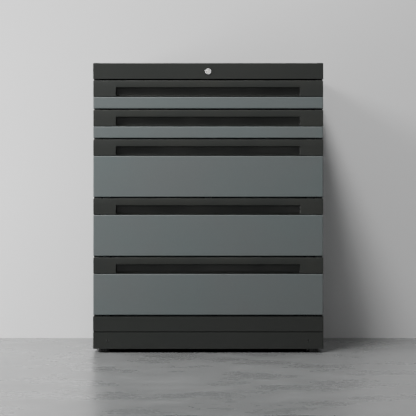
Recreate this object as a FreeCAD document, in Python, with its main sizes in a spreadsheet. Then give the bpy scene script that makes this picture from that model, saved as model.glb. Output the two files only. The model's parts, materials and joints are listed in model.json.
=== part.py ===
import FreeCAD, Part
import math
import os
import re
import Sketcher

# Five-drawer steel cabinet for microscope slides.
# X runs to the right, Y from the front to the back, Z up.
# The origin is under the middle of the cabinet, on the floor. Millimetres.

document = FreeCAD.newDocument("slide_cabinet")

# ---------------------------------------------------------------- driving dimensions

sizes = document.addObject("Spreadsheet::Sheet", "Sizes")
layout = document.addObject("Spreadsheet::Sheet", "Layout")
sheet_of = {}


def fill(sheet, cells):
    """Puts named cells into a sheet, each a plain number or a formula."""
    for name in cells:
        sheet_of[name] = sheet.Name
    for row, (name, content) in enumerate(cells.items(), 1):
        sheet.set(f"A{row}", name)
        sheet.set(f"B{row}", str(content) if sheet is sizes else "=" + formula(content, sheet.Name))
        sheet.setAlias(f"B{row}", name)
    document.recompute()


def formula(text, home=""):
    """Puts its sheet in front of each named value, as an expression outside that sheet needs."""
    def owned(word):
        owner = sheet_of.get(word[0], home)
        return word[0] if owner == home else owner + "." + word[0]
    return re.sub(r"[a-z]\w*", owned, str(text))


def number(text):
    """The value that an expression of named sizes has now."""
    return float(sizes.evalExpression(formula(text)))


def bind(item, path, text):
    """Ties a property of a document object to an expression of named sizes."""
    item.setExpression(path, formula(text))


# What a maker would change, with what each is.
driving = {
    "width": 600,             # cover, base pan and plinth, side to side
    "depth": 580,             # cover, front to back
    "sheet": 1.2,             # steel of the case
    "bend": 1,                # inside radius of a fold
    "fit": 0.2,               # between two shells, one inside the other
    "running": 0.3,           # between pieces that slide or turn on each other
    "foot_height": 10,        # floor to plinth
    "foot_diameter": 32,      # foot pad over its ribs
    "foot_rib": 1.2,          # depth of the grooves between the pad's ribs
    "foot_inset": 28,         # foot centre from the plinth's sides and ends
    "stud_diameter": 8,       # foot's threaded stud
    "stud_length": 18,        # stud above the pad
    "nut_width": 13,          # foot's weld nut across its flats
    "nut_height": 6.5,        # foot's weld nut
    "plinth_height": 43,      # plinth below its seam
    "plinth_sheet": 1.5,      # steel of the plinth
    "plinth_flange": 46,      # plinth's lower flange
    "plinth_ledge": 26,       # plinth's upper flange
    "seam": 1.2,              # shadow joint between plinth and base pan
    "seam_setback": 3,        # depth of the shadow joint
    "bracket_end": 12.5,      # corner bracket beyond its screw
    "bracket_sheet": 2,       # steel of the corner bracket
    "screw_inset": 39,        # plinth screw from the plinth's side
    "screw_head": 5,          # plinth screw's head
    "screw_shank": 3,         # plinth screw's shank
    "screw_socket": 2.4,      # plinth screw's socket across its flats
    "base_height": 40,        # base pan's upstands
    "cover_height": 42,       # cover's downstands
    "rail_gap": 3.3,          # rail's inner flange to the side panels
    "rim_width": 15,          # raised strip along each side of the cover's top
    "rim_rise": 0.4,          # height of the raised strip
    "side_return": 18,        # folds along a side panel's front and back edges
    "back_flange": 12,        # folds along the back panel's sides
    "back_screw_head": 7,     # back panel screw's head across its flats
    "back_screw_proud": 2.2,  # height of the back panel screw's head
    "back_screw_end": 70,     # first and last back screw from the panel's ends
    "unit_height": 76.8,      # one shallow drawer and its gap
    "front_gap": 3.5,         # between two drawer fronts
    "cover_gap": 4,           # between the top drawer's front and the cover
    "front_depth": 20,        # thickness of a drawer front
    "front_reveal": 0.5,      # drawer front's ends inside the cover's sides
    "front_stand": 1.5,       # drawer front's back to the side panels
    "grip_height": 42,        # moulded grip rail along a drawer's top
    "grip_seam": 1,           # between grip rail and face
    "grip_end": 59.5,         # grip rail beside the recess
    "grip_brow": 18,          # grip rail above the recess
    "grip_lip": 4,            # thickness of the brow in front of the finger hook
    "grip_hook": 6,           # recess behind the brow
    "grip_back": 3,           # wall behind the recess
    "grip_floor": 1,          # wall below the recess
    "grip_sill": 3,           # flat lower edge of the recess in front of its scoop
    "grip_corner": 2,         # radius of the recess's other corners
    "grip_wall": 2.6,         # wall round the hollows in the grip rail's back
    "grip_rib": 2,            # ribs between those hollows
    "edge_round": 1,          # grip rail's moulded edges
    "tray_sheet": 1,          # steel of a drawer tray
    "tray_lift": 6,           # tray's floor above its front's lower edge
    "tray_drop": 8,           # tray's rim below its front's upper edge
    "tongue_gap": 4.1,        # closed tray's back to the tongues
    "hem_depth": 2.6,         # folded rim of a tray, across
    "hem_height": 6,          # folded rim of a tray, up
    "divider_sheet": 0.8,     # steel of a divider
    "divider_drop": 8,        # divider's top below the tray's rim
    "divider_foot": 12,       # divider's end flanges
    "divider_hem": 2.6,       # divider's rolled top edge
    "runner_pass": 0.7,       # middle runner inside the side panels' front folds
    "post_width": 36,         # runner post, front to back
    "post_lip": 9,            # runner post's welding flanges
    "post_sheet": 1.5,        # steel of a runner post
    "runner_end": 35.8,       # tray behind the runners' back ends
    "runner_short": 10,       # middle runner shorter than the others
    "runner_height": 45,      # outer runner
    "runner_depth": 12.7,     # all three runners, side to side
    "runner_sheet": 1.2,      # steel of a runner
    "runner_lip": 2.5,        # folded lips that hold the runners together
    "runner_rise": 36,        # runner's middle above the front's lower edge
    "lock_drop": 22.5,        # lock's axis below the cover's top
    "bezel_diameter": 16,     # lock's bright ring
    "bezel_proud": 2.4,       # ring in front of the cover
    "bezel_lip": 1,           # ring outside the barrel
    "barrel_length": 18,      # barrel behind the cover's front
    "barrel_wall": 1.2,       # barrel round the plug
    "plug_recess": 0.4,       # plug's face behind the ring's
    "plug_tail": 6,           # plug behind the barrel
    "key_width": 2.2,         # keyway
    "key_height": 8,          # keyway
    "key_depth": 7,           # keyway
    "lock_nut_width": 19,     # lock's nut across its flats
    "lock_nut_height": 4,     # lock's nut
    "shaft_width": 6,         # square shaft from the lock to the crank
    "shaft_socket": 5,        # shaft's ends inside plug and crank
    "crank_edge": 1.5,        # crank outside its pin
    "crank_height": 4,        # thickness of the crank
    "hub_wall": 3,            # crank's hub outside the shaft's corners
    "crank_hub_length": 4,    # crank's hub in front of its lever
    "crank_gap": 3,           # crank to the lock bar
    "pin_diameter": 5,        # crank pin
    "slot_play": 0.4,         # lock bar's slot above and below the pin
    "bar_stroke": 12,         # lock bar's travel
    "bar_width": 20,          # lock bar
    "bar_sheet": 3,           # steel of the lock bar
    "head_edge": 6.6,         # lock bar's head round its slot
    "tongue_width": 16,       # lock bar's tongues
    "tongue_reach": 10,       # tongue in front of the lock bar
    "tongue_sheet": 2,        # steel of a tongue
    "tongue_drop": 14,        # tongue below its arm
    "tongue_lead": 2,         # open tongue above the catch
    "weld_leg": 8,            # legs that weld tongues and catches to what carries them
    "catch_width": 30,        # drawer's catch, across
    "catch_play": 2.9,        # tongue to the catch's lip
    "catch_sheet": 1.5,       # steel of the catch
    "catch_height": 13,       # catch's upturned lip
    "catch_drop": 20,         # catch below the tray's rim
    "guide_height": 16,       # lock bar's guide
    "guide_foot": 10,         # guide's feet
    "guide_sheet": 1.5,       # steel of guides and shaft bracket
    "guide_rise": 12,         # guide above its drawer's lower edge
    "hanger_height": 26,      # shaft bracket
    "hanger_clear": 4,        # shaft bracket's legs beside the lock bar's head
    "hanger_play": 4.2,       # shaft bracket to the crank's hub
}

# Drawers are numbered from the top, each as high as this many units.
drawer_units = {1: 1, 2: 1, 3: 2, 4: 2, 5: 2}
drawer_rows = {1: 6, 2: 6, 3: 3, 4: 3, 5: 3}
foot_ribs = 12
screw_sides = 12
grip_cores = 8

all_units = sum(drawer_units.values())

# Places and lengths that follow from the driving dimensions.
derived = {
    "front_y": "-(depth - bezel_proud) / 2",                        # front plane of cover, drawers and rails
    "back_y": "(depth + bezel_proud) / 2",                          # cover's back
    "base_z": "foot_height + plinth_height + seam",                 # base pan's underside
    "floor_z": "base_z + sheet",                                    # base pan's floor
    "opening_z": "base_z + base_height",                            # top of the base rail
    "cover_z": f"opening_z + {all_units} * unit_height + cover_gap",  # cover's lower edge
    "top_z": "cover_z + cover_height",                              # top of the raised strips
    "roof_z": "top_z - rim_rise - sheet",                           # cover's ceiling
    "skin_x": "width / 2 - sheet - fit",                            # side panel's outer face
    "inner_x": "skin_x - sheet",                                    # side panel's inner face
    "post_x": "skin_x - side_return - runner_pass + runner_sheet + running",  # posts' face, under the runners
    "tray_x": "post_x - runner_depth",                              # trays' outer side
    "panel_front_y": "front_y + front_depth + front_stand",         # side panels' front
    "panel_back_y": "back_y - sheet - fit",                         # side panels' back
    "rail_back_y": "panel_front_y - rail_gap",                      # back edge of the front rails' flanges
    "wall_y": "panel_back_y - 2 * sheet",                           # back panel's inner face
    "bar_y": "wall_y - running - bar_sheet",                        # lock bar's front face
    "tongue_y": "bar_y - tongue_reach",                             # tongues' front faces
    "tray_front_y": "front_y + front_depth",                        # trays' front
    "tray_back_y": "tongue_y - tongue_gap",                         # trays' back
    "catch_y": "tongue_y + tongue_sheet + catch_play + catch_sheet",  # catches' back
    "runner_y": "panel_front_y + sheet + running",                  # runners' front ends
    "runner_length": "tray_back_y - runner_end - runner_y",         # outer and inner runner
    "recess_x": "width / 2 - front_reveal - grip_end",              # finger recess's ends
    "lock_z": "top_z - lock_drop",                                  # lock's axis
    "shaft_diameter": "shaft_width * sqrt(2)",                      # shaft over its corners
    "barrel_diameter": "bezel_diameter - 2 * bezel_lip",            # lock's threaded barrel
    "plug_diameter": "barrel_diameter - 2 * (barrel_wall + running)",  # lock's turning plug
    "plug_end_y": "front_y + barrel_length + plug_tail",            # plug's back end
    "crank_throw": "bar_stroke / (2 * sin(45))",                    # pin's distance from the shaft's axis
    "crank_y": "bar_y - crank_gap - crank_height",                  # crank's front face
    "hub_y": "crank_y - crank_hub_length",                          # crank hub's front face
    "slot_half": "pin_diameter / 2 + slot_play",                    # half the height of the lock bar's slot
    "head_half": "crank_throw + slot_half + head_edge",             # half the width of the lock bar's head
    "pin_z": "lock_z + crank_throw * sin(45)",                      # crank pin's axis
}
row_z = "opening_z + front_gap"
for drawer in sorted(drawer_units, reverse=True):
    units = drawer_units[drawer]
    derived[f"front_z{drawer}"] = row_z
    derived[f"front_height{drawer}"] = f"{units} * unit_height - front_gap"
    derived[f"tray_height{drawer}"] = f"front_height{drawer} - tray_lift - tray_drop"
    derived[f"catch_z{drawer}"] = f"tray_lift + tray_height{drawer} - catch_drop"
    row_z = f"front_z{drawer} + {units} * unit_height"
fill(sizes, driving)
fill(layout, derived)

# ---------------------------------------------------------------- sketches and features

# Extrusion axis: the plane to sketch on, and the way its normal points along that axis.
planes = {"X": ("YZ_Plane", 1), "Y": ("XZ_Plane", -1), "Z": ("XY_Plane", 1)}
pieces = []


def piece(label):
    """A new sub-part. Its label names its file."""
    body = document.addObject("PartDesign::Body", label)
    body.Label = label
    body.AllowCompound = True
    pieces.append(body)
    return body


def joined(label, *bodies):
    """One sub-part out of bodies that are welded together, each a solid of its own."""
    group = document.addObject("Part::Compound", label)
    group.Label = label
    group.Links = bodies
    for body in bodies:
        pieces.remove(body)
    pieces.append(group)


def origin(body, role):
    return next(item for item in body.Origin.OriginFeatures if item.Role == role)


def sketch_on(body, role, lift="0"):
    """A sketch on one of the body's own planes, lifted along the plane's normal."""
    sketch = body.newObject("Sketcher::SketchObject", "outline")
    sketch.AttachmentSupport = [(origin(body, role), "")]
    sketch.MapMode = "FlatFace"
    bind(sketch, "AttachmentOffset.Base.z", lift)
    return sketch


def hold(sketch, geometry, vertex, across, up):
    """Holds a sketch point at a place given by two expressions."""
    for kind, text in (("DistanceX", across), ("DistanceY", up)):
        name = f"{kind}{sketch.ConstraintCount}"
        mark = sketch.addConstraint(Sketcher.Constraint(kind, -1, 1, geometry, vertex, number(text)))
        sketch.renameConstraint(mark, name)
        bind(sketch, f"Constraints.{name}", text)


def polygon(sketch, corners):
    """A closed outline. A corner is (across, up) or (across, up, radius), all expressions."""
    spots = [FreeCAD.Vector(number(corner[0]), number(corner[1]), 0) for corner in corners]
    arcs = {}
    for here, corner in enumerate(corners):
        if len(corner) < 3:
            continue
        back = (spots[here - 1] - spots[here]).normalize()
        ahead = (spots[(here + 1) % len(spots)] - spots[here]).normalize()
        half_angle = back.getAngle(ahead) / 2
        radius = number(corner[2])
        into = spots[here] + back * (radius / math.tan(half_angle))
        out = spots[here] + ahead * (radius / math.tan(half_angle))
        centre = spots[here] + (back + ahead).normalize() * (radius / math.sin(half_angle))
        arcs[here] = (into, out, centre, radius, back.cross(ahead).z < 0)
    first = sketch.GeometryCount
    for here, spot in enumerate(spots):
        there = (here + 1) % len(spots)
        start = arcs[here][1] if here in arcs else spot
        stop = arcs[there][0] if there in arcs else spots[there]
        sketch.addGeometry(Part.LineSegment(start, stop), False)
    for here, corner in enumerate(corners):
        before = first + (here - 1) % len(corners)
        after = first + here
        if here not in arcs:
            sketch.addConstraint(Sketcher.Constraint("Coincident", before, 2, after, 1))
            hold(sketch, after, 1, corner[0], corner[1])
            continue
        into, out, centre, radius, leftward = arcs[here]
        begin, end = (into, out) if leftward else (out, into)
        angles = [math.atan2(spot.y - centre.y, spot.x - centre.x) for spot in (begin, end)]
        circle = Part.Circle(centre, FreeCAD.Vector(0, 0, 1), radius)
        arc = sketch.addGeometry(Part.ArcOfCircle(circle, angles[0], angles[1]), False)
        sharp = sketch.addGeometry(Part.Point(spots[here]), True)
        sketch.addConstraint(Sketcher.Constraint("PointOnObject", sharp, 1, before))
        sketch.addConstraint(Sketcher.Constraint("PointOnObject", sharp, 1, after))
        sketch.addConstraint(Sketcher.Constraint("Tangent", before, 2, arc, 1 if leftward else 2))
        sketch.addConstraint(Sketcher.Constraint("Tangent", after, 1, arc, 2 if leftward else 1))
        mark = sketch.addConstraint(Sketcher.Constraint("Radius", arc, radius))
        sketch.renameConstraint(mark, f"Radius{mark}")
        bind(sketch, f"Constraints.Radius{mark}", corner[2])
        hold(sketch, sharp, 1, corner[0], corner[1])


def circle(sketch, across, up, diameter):
    centre = FreeCAD.Vector(number(across), number(up), 0)
    ring = sketch.addGeometry(Part.Circle(centre, FreeCAD.Vector(0, 0, 1), number(diameter) / 2), False)
    mark = sketch.addConstraint(Sketcher.Constraint("Diameter", ring, number(diameter)))
    sketch.renameConstraint(mark, f"Diameter{mark}")
    bind(sketch, f"Constraints.Diameter{mark}", diameter)
    hold(sketch, ring, 3, across, up)


def rectangle(left, low, right, high, *radius):
    return [(left, low) + radius, (right, low) + radius, (right, high) + radius, (left, high) + radius]


def many_sided(across, up, flats, sides=6):
    """An even outline of a width across its flats, two of which are level."""
    reach = f"({flats}) / 2 / cos({180 / sides})"
    turns = [360 * (corner + (sides // 2) % 2 / 2 + 0.5) / sides for corner in range(sides)]
    return [(f"{across} + {reach} * cos({turn})", f"{up} + {reach} * sin({turn})") for turn in turns]


def extrude(body, kind, axis, start, length, *outlines):
    """A Pad or Pocket from start along an axis. An outline is corners or a circle's three values."""
    role, way = planes[axis]
    sketch = sketch_on(body, role, f"{way} * ({start})")
    for outline in outlines:
        if isinstance(outline, list):
            polygon(sketch, outline)
        else:
            circle(sketch, *outline)
    feature = body.newObject("PartDesign::" + kind, kind.lower())
    feature.Profile = sketch
    bind(feature, "Length", length)
    feature.Reversed = (kind == "Pad") == (way < 0)
    sketch.Visibility = False
    return feature


def pad(body, axis, start, length, *outlines):
    return extrude(body, "Pad", axis, start, length, *outlines)


def pocket(body, axis, start, length, *outlines):
    """Cuts, and stops if nothing came off."""
    document.recompute()
    before = body.Shape.Volume
    feature = extrude(body, "Pocket", axis, start, length, *outlines)
    document.recompute()
    if body.Shape.Volume > before - 1e-3:
        raise RuntimeError(f"{body.Label}: a pocket cuts nothing")
    return feature


def turned(body, outline):
    """A full turn about Y of an outline given as (along Y, radius)."""
    sketch = sketch_on(body, "YZ_Plane")
    polygon(sketch, outline)
    feature = body.newObject("PartDesign::Revolution", "turned")
    feature.Profile = sketch
    feature.ReferenceAxis = (sketch, ["H_Axis"])
    feature.Angle = 360
    sketch.Visibility = False
    return feature


def dressed(body, kind, sized, amount, chosen):
    """A fillet or chamfer along every edge of the body so far that the chooser accepts."""
    document.recompute()
    base = body.Tip
    names = [f"Edge{place}" for place, edge in enumerate(base.Shape.Edges, 1) if chosen(edge)]
    feature = body.newObject("PartDesign::" + kind, kind.lower())
    feature.Base = (base, names)
    bind(feature, sized, amount)


def rounded(body, radius, chosen):
    dressed(body, "Fillet", "Radius", radius, chosen)


def bevelled(body, size, chosen):
    dressed(body, "Chamfer", "Size", size, chosen)


def both_sides(body):
    """Mirrors all of the body so far to the other side of the middle."""
    document.recompute()
    feature = body.newObject("PartDesign::Mirrored", "other_side")
    feature.TransformMode = "Whole shape"
    feature.MirrorPlane = (origin(body, "YZ_Plane"), [""])
    body.Tip = feature
    return feature


def lies_at(axis, place):
    """A chooser of edges that lie all along one plane."""
    low, high = axis + "Min", axis + "Max"

    def chosen(edge):
        box = edge.BoundBox
        return abs(getattr(box, low) - place) < 1e-4 and abs(getattr(box, high) - place) < 1e-4
    return chosen


# ---------------------------------------------------------------- case

def base_pan():
    """Folded tray whose front upstand is the rail under the drawers."""
    body = piece("base_pan")
    pad(body, "Z", "base_z", "base_height",
        rectangle("-width / 2", "front_y", "width / 2", "back_y", "bend + sheet"))
    bevelled(body, "sheet", lies_at("Z", number("base_z")))
    pocket(body, "Z", "floor_z", "base_height",
           rectangle("sheet - width / 2", "front_y + sheet", "width / 2 - sheet", "back_y - sheet", "bend"))
    pad(body, "Z", "opening_z - sheet", "sheet",
        rectangle("-skin_x", "front_y + sheet / 2", "skin_x", "rail_back_y"))


def top_cover():
    """Folded lid with a hole for the lock and a raised strip along each side of its top."""
    body = piece("top_cover")
    pad(body, "Z", "cover_z", "cover_height - rim_rise",
        rectangle("-width / 2", "front_y", "width / 2", "back_y", "bend + sheet"))
    rounded(body, "bend + sheet", lies_at("Z", number("top_z - rim_rise")))
    pocket(body, "Z", "cover_z", "roof_z - cover_z",
           rectangle("sheet - width / 2", "front_y + sheet", "width / 2 - sheet", "back_y - sheet", "bend"))
    pad(body, "Z", "cover_z", "sheet",
        rectangle("-skin_x", "front_y + sheet / 2", "skin_x", "rail_back_y"))
    inside = "(width / 2 - bend - sheet)"
    ends = ("front_y + bend + sheet", "back_y - bend - sheet")
    pad(body, "Z", "roof_z + sheet / 2", "rim_rise + sheet / 2",
        rectangle(f"-{inside}", ends[0], f"rim_width - {inside}", ends[1]),
        rectangle(f"{inside} - rim_width", ends[0], inside, ends[1]))
    pocket(body, "Y", "front_y", "sheet", ("0", "lock_z", "barrel_diameter + fit"))


def side_panel(label, side):
    """Sheet with a fold along its front and back edges, standing on the base pan's floor."""
    body = piece(label)
    outer, inner, lip = f"{side} * skin_x", f"{side} * inner_x", f"{side} * (skin_x - side_return)"
    front, back = "panel_front_y", "panel_back_y"
    pad(body, "Z", "floor_z", "roof_z - floor_z", [
        (lip, front), (outer, front, "bend + sheet"), (outer, back, "bend + sheet"), (lip, back),
        (lip, f"{back} - sheet"), (inner, f"{back} - sheet", "bend"),
        (inner, f"{front} + sheet", "bend"), (lip, f"{front} + sheet")])


def back_screw_places():
    """Heights of the back panel's screws, with the last two near the panel's ends."""
    low, high = "(floor_z + back_screw_end)", "(roof_z - back_screw_end)"
    return [f"{low} + ({high} - {low}) * {step} / 3" for step in range(4)]


def back_panel():
    """Sheet that closes the back, inside the side panels' folds."""
    body = piece("back_panel")
    edge = "(inner_x - fit)"
    outside, inside = "panel_back_y - sheet", "wall_y"
    pad(body, "Z", "floor_z", "roof_z - floor_z", [
        (f"-{edge}", outside, "bend + sheet"), (edge, outside, "bend + sheet"),
        (edge, f"{inside} - back_flange"), (f"{edge} - sheet", f"{inside} - back_flange"),
        (f"{edge} - sheet", inside, "bend"), (f"sheet - {edge}", inside, "bend"),
        (f"sheet - {edge}", f"{inside} - back_flange"), (f"-{edge}", f"{inside} - back_flange")])


def back_screws():
    """Low hexagon heads on the side panels' back folds."""
    body = piece("back_screws")
    across = "skin_x - side_return / 2 - bend"
    pad(body, "Y", "panel_back_y", "back_screw_proud",
        *[many_sided(across, up, "back_screw_head") for up in back_screw_places()])
    both_sides(body)


def runner_posts(label, start):
    """Upright channel on each side, its lips on the side panel and its web under the runners."""
    body = piece(label)
    first, last = f"({start})", f"({start} + post_width)"
    wall = "inner_x"
    pad(body, "Z", "floor_z", "roof_z - floor_z", [
        (wall, f"{first} - post_lip"), (wall, f"{first} + post_sheet"),
        (f"post_x + post_sheet", f"{first} + post_sheet"), (f"post_x + post_sheet", f"{last} - post_sheet"),
        (wall, f"{last} - post_sheet"), (wall, f"{last} + post_lip"),
        (f"{wall} - post_sheet", f"{last} + post_lip"), (f"{wall} - post_sheet", last),
        ("post_x", last), ("post_x", first),
        (f"{wall} - post_sheet", first), (f"{wall} - post_sheet", f"{first} - post_lip")])
    both_sides(body)


# ---------------------------------------------------------------- plinth and feet

def plinth_frame():
    """Channel-section frame, open in the middle, with a set-back ledge under the base pan."""
    body = piece("plinth_frame")
    left, right, front, back = "-width / 2", "width / 2", "front_y", "back_y"

    def ring(inset, *radius):
        return rectangle(f"{left} + {inset}", f"{front} + {inset}", f"{right} - {inset}", f"{back} - {inset}",
                         *radius)
    pad(body, "Z", "foot_height", "plinth_height", ring("0", "bend + plinth_sheet"))
    pad(body, "Z", "foot_height + plinth_height - plinth_sheet", "seam + plinth_sheet", ring("seam_setback"))
    pocket(body, "Z", "foot_height + plinth_sheet", "plinth_height - 2 * plinth_sheet", ring("plinth_sheet"))
    pocket(body, "Z", "foot_height", "plinth_sheet", ring("plinth_flange"))
    pocket(body, "Z", "foot_height + plinth_height - plinth_sheet", "seam + plinth_sheet",
           ring("plinth_ledge"))
    middle = "foot_height + plinth_height / 2"
    aside = "(width / 2 - screw_inset)"
    holes = [many_sided(across, middle, "screw_head + 2 * running", screw_sides)
             for across in ("-" + aside, aside)]
    pocket(body, "Y", front, "plinth_sheet", *holes)
    pocket(body, "Y", "back_y - plinth_sheet", "plinth_sheet", *holes)
    reach = "(stud_diameter / 2 + running)"
    studs = [rectangle(f"{x} * (width / 2 - foot_inset) - {reach}", f"{y} - {reach}",
                       f"{x} * (width / 2 - foot_inset) + {reach}", f"{y} + {reach}")
             for x in (-1, 1) for y in ("front_y + foot_inset", "back_y - foot_inset")]
    pocket(body, "Z", "foot_height", "plinth_sheet", *studs)


def plinth_brackets():
    """Angle in each corner of the plinth, which the plinth's screws pull tight."""
    body = piece("plinth_brackets")
    corner = "(width / 2 - plinth_sheet)"
    leg = "(screw_inset - plinth_sheet + bracket_end)"
    for wall, way in (("(front_y + plinth_sheet)", 1), ("(back_y - plinth_sheet)", -1)):
        pad(body, "Z", "foot_height + plinth_sheet", "plinth_height - 2 * plinth_sheet", [
            (corner, wall, "bend + plinth_sheet"), (corner, f"{wall} + {way} * {leg}"),
            (f"{corner} - bracket_sheet", f"{wall} + {way} * {leg}"),
            (f"{corner} - bracket_sheet", f"{wall} + {way} * bracket_sheet"),
            (f"{corner} - {leg}", f"{wall} + {way} * bracket_sheet"), (f"{corner} - {leg}", wall)])
    across, up = "width / 2 - screw_inset", "foot_height + plinth_height / 2"
    aside, half = "(screw_shank / 2 + fit)", "(screw_shank + fit)"
    slot = rectangle(f"{across} - {aside}", f"{up} - {half}", f"{across} + {aside}", f"{up} + {half}")
    pocket(body, "Y", "front_y + plinth_sheet", "bracket_sheet", slot)
    pocket(body, "Y", "back_y - plinth_sheet - bracket_sheet", "bracket_sheet", slot)
    both_sides(body)


def plinth_screws():
    """Socket screws, their heads inside the plinth's wall and against the corner brackets."""
    body = piece("plinth_screws")
    aside, middle = "width / 2 - screw_inset", "foot_height + plinth_height / 2"
    head = "0.7 * plinth_sheet"
    cap = many_sided(aside, middle, "screw_head", screw_sides)
    shank = many_sided(aside, middle, "screw_shank * cos(30)")
    pad(body, "Y", f"front_y + plinth_sheet - {head}", head, cap)
    pad(body, "Y", "front_y + plinth_sheet", "3 * bracket_sheet", shank)
    pad(body, "Y", "back_y - plinth_sheet", head, cap)
    pad(body, "Y", "back_y - plinth_sheet - 3 * bracket_sheet", "3 * bracket_sheet", shank)
    socket = many_sided(aside, middle, "screw_socket")
    pocket(body, "Y", f"front_y + plinth_sheet - {head}", f"{head} / 2", socket)
    pocket(body, "Y", f"back_y - plinth_sheet + {head} / 2", f"{head} / 2", socket)
    both_sides(body)


def foot_nuts():
    """Square nuts welded on the plinth's lower flange."""
    body = piece("foot_nuts")
    across, reach = "width / 2 - foot_inset", "nut_width / 2"
    for deep in ("front_y + foot_inset", "back_y - foot_inset"):
        pad(body, "Z", "foot_height + plinth_sheet", "nut_height",
            rectangle(f"{across} - {reach}", f"{deep} - {reach}", f"{across} + {reach}", f"{deep} + {reach}"),
            (across, deep, "stud_diameter + 2 * running"))
    both_sides(body)


def foot(label, x_side, deep):
    """Levelling foot: a ribbed pad on a threaded stud. It is drawn about its own axis."""
    body = piece(label)
    corners = []
    for step in range(2 * foot_ribs):
        reach = "(foot_diameter / 2 - foot_rib)" if step % 2 else "foot_diameter / 2"
        turn = 180 * step / foot_ribs
        corners.append((f"{reach} * cos({turn})", f"{reach} * sin({turn})"))
    pad(body, "Z", "0", "foot_height - running", corners)
    pad(body, "Z", "foot_height - running", "stud_length", ("0", "0", "stud_diameter"))
    bind(body, "Placement.Base.x", f"{x_side} * (width / 2 - foot_inset)")
    bind(body, "Placement.Base.y", deep)


# ---------------------------------------------------------------- lock

def lock_housing():
    """Bright ring and barrel, bored for the plug."""
    body = piece("lock_housing")
    bore, barrel, ring = "(plug_diameter / 2 + running)", "barrel_diameter / 2", "bezel_diameter / 2"
    turned(body, [
        ("front_y - bezel_proud", bore), ("front_y + barrel_length", bore),
        ("front_y + barrel_length", barrel), ("front_y", barrel), ("front_y", ring),
        ("front_y - bezel_proud / 2", ring),
        ("front_y - bezel_proud", f"{ring} - bezel_proud / 2")])
    bind(body, "Placement.Base.z", "lock_z")


def lock_nut():
    """Thin nut that clamps the barrel behind the cover's front."""
    body = piece("lock_nut")
    pad(body, "Y", "front_y + sheet", "lock_nut_height",
        many_sided("0", "0", "lock_nut_width"), ("0", "0", "barrel_diameter + fit"))
    bind(body, "Placement.Base.z", "lock_z")


def shaft_section(outside="0"):
    """Square outline about the lock's axis, so much outside the shaft."""
    reach = f"(shaft_width / 2 + {outside})"
    return rectangle(f"-{reach}", f"-{reach}", reach, reach)


def lock_plug():
    """Turning plug with its keyway upright."""
    body = piece("lock_plug")
    face = "front_y - bezel_proud + plug_recess"
    pad(body, "Y", face, f"plug_end_y - ({face})", ("0", "0", "plug_diameter"))
    pocket(body, "Y", face, "key_depth",
           rectangle("-key_width / 2", "-key_height / 2", "key_width / 2", "key_height / 2"))
    pocket(body, "Y", "plug_end_y - shaft_socket", "shaft_socket", shaft_section("fit / 2"))
    bind(body, "Placement.Base.z", "lock_z")


def lock_shaft():
    """Long square rod from the plug to the crank, over the top drawer."""
    body = piece("lock_shaft")
    start = "(plug_end_y - shaft_socket)"
    stop = "(hub_y + shaft_socket)"
    pad(body, "Y", start, f"{stop} - {start}", shaft_section())
    bind(body, "Placement.Base.z", "lock_z")


def lock_crank():
    """Lever with a hub for the shaft and a pin in the lock bar's slot, an eighth of a turn above level."""
    body = piece("lock_crank")
    hub, tip = "(shaft_diameter / 2 + hub_wall)", "(pin_diameter / 2 + crank_edge)"
    shape = [(f"-{hub} / 2", f"-{hub}"), ("crank_throw", f"-{tip}"), (f"crank_throw + {tip}", f"-{tip} / 2"),
             (f"crank_throw + {tip}", f"{tip} / 2"), ("crank_throw", tip), (f"-{hub} / 2", hub),
             (f"-{hub}", f"{hub} / 2"), (f"-{hub}", f"-{hub} / 2")]
    pad(body, "Y", "crank_y", "crank_height", [
        (f"({along} - ({aside})) * cos(45)", f"({along} + {aside}) * sin(45)") for along, aside in shape])
    pad(body, "Y", "hub_y", "crank_hub_length", ("0", "0", "shaft_diameter + 2 * hub_wall"))
    pad(body, "Y", "crank_y + crank_height", "crank_gap + bar_sheet",
        ("crank_throw * cos(45)", "crank_throw * sin(45)", "pin_diameter"))
    pocket(body, "Y", "hub_y", "shaft_socket", shaft_section("fit / 2"))
    bind(body, "Placement.Base.z", "lock_z")


def shaft_bracket():
    """Hat-shaped bearing for the shaft, its feet on the back panel either side of the lock bar."""
    body = piece("shaft_bracket")
    low = "lock_z - hanger_height / 2"
    inside, outside = "(head_half + hanger_clear)", "(head_half + hanger_clear + guide_sheet)"
    web = "(hub_y - hanger_play - guide_sheet)"
    foot_y = "wall_y - guide_sheet"
    section = [(outside, foot_y), (outside, web), (f"-{outside}", web), (f"-{outside}", foot_y),
             (f"-{outside} - guide_foot", foot_y), (f"-{outside} - guide_foot", "wall_y"),
             (f"-{inside}", "wall_y"), (f"-{inside}", f"{web} + guide_sheet"),
             (inside, f"{web} + guide_sheet"), (inside, "wall_y"),
             (f"{outside} + guide_foot", "wall_y"), (f"{outside} + guide_foot", foot_y)]
    pad(body, "Z", low, "hanger_height", section)
    pocket(body, "Y", web, "guide_sheet", ("0", "lock_z", "shaft_diameter + 2 * running"))


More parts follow.
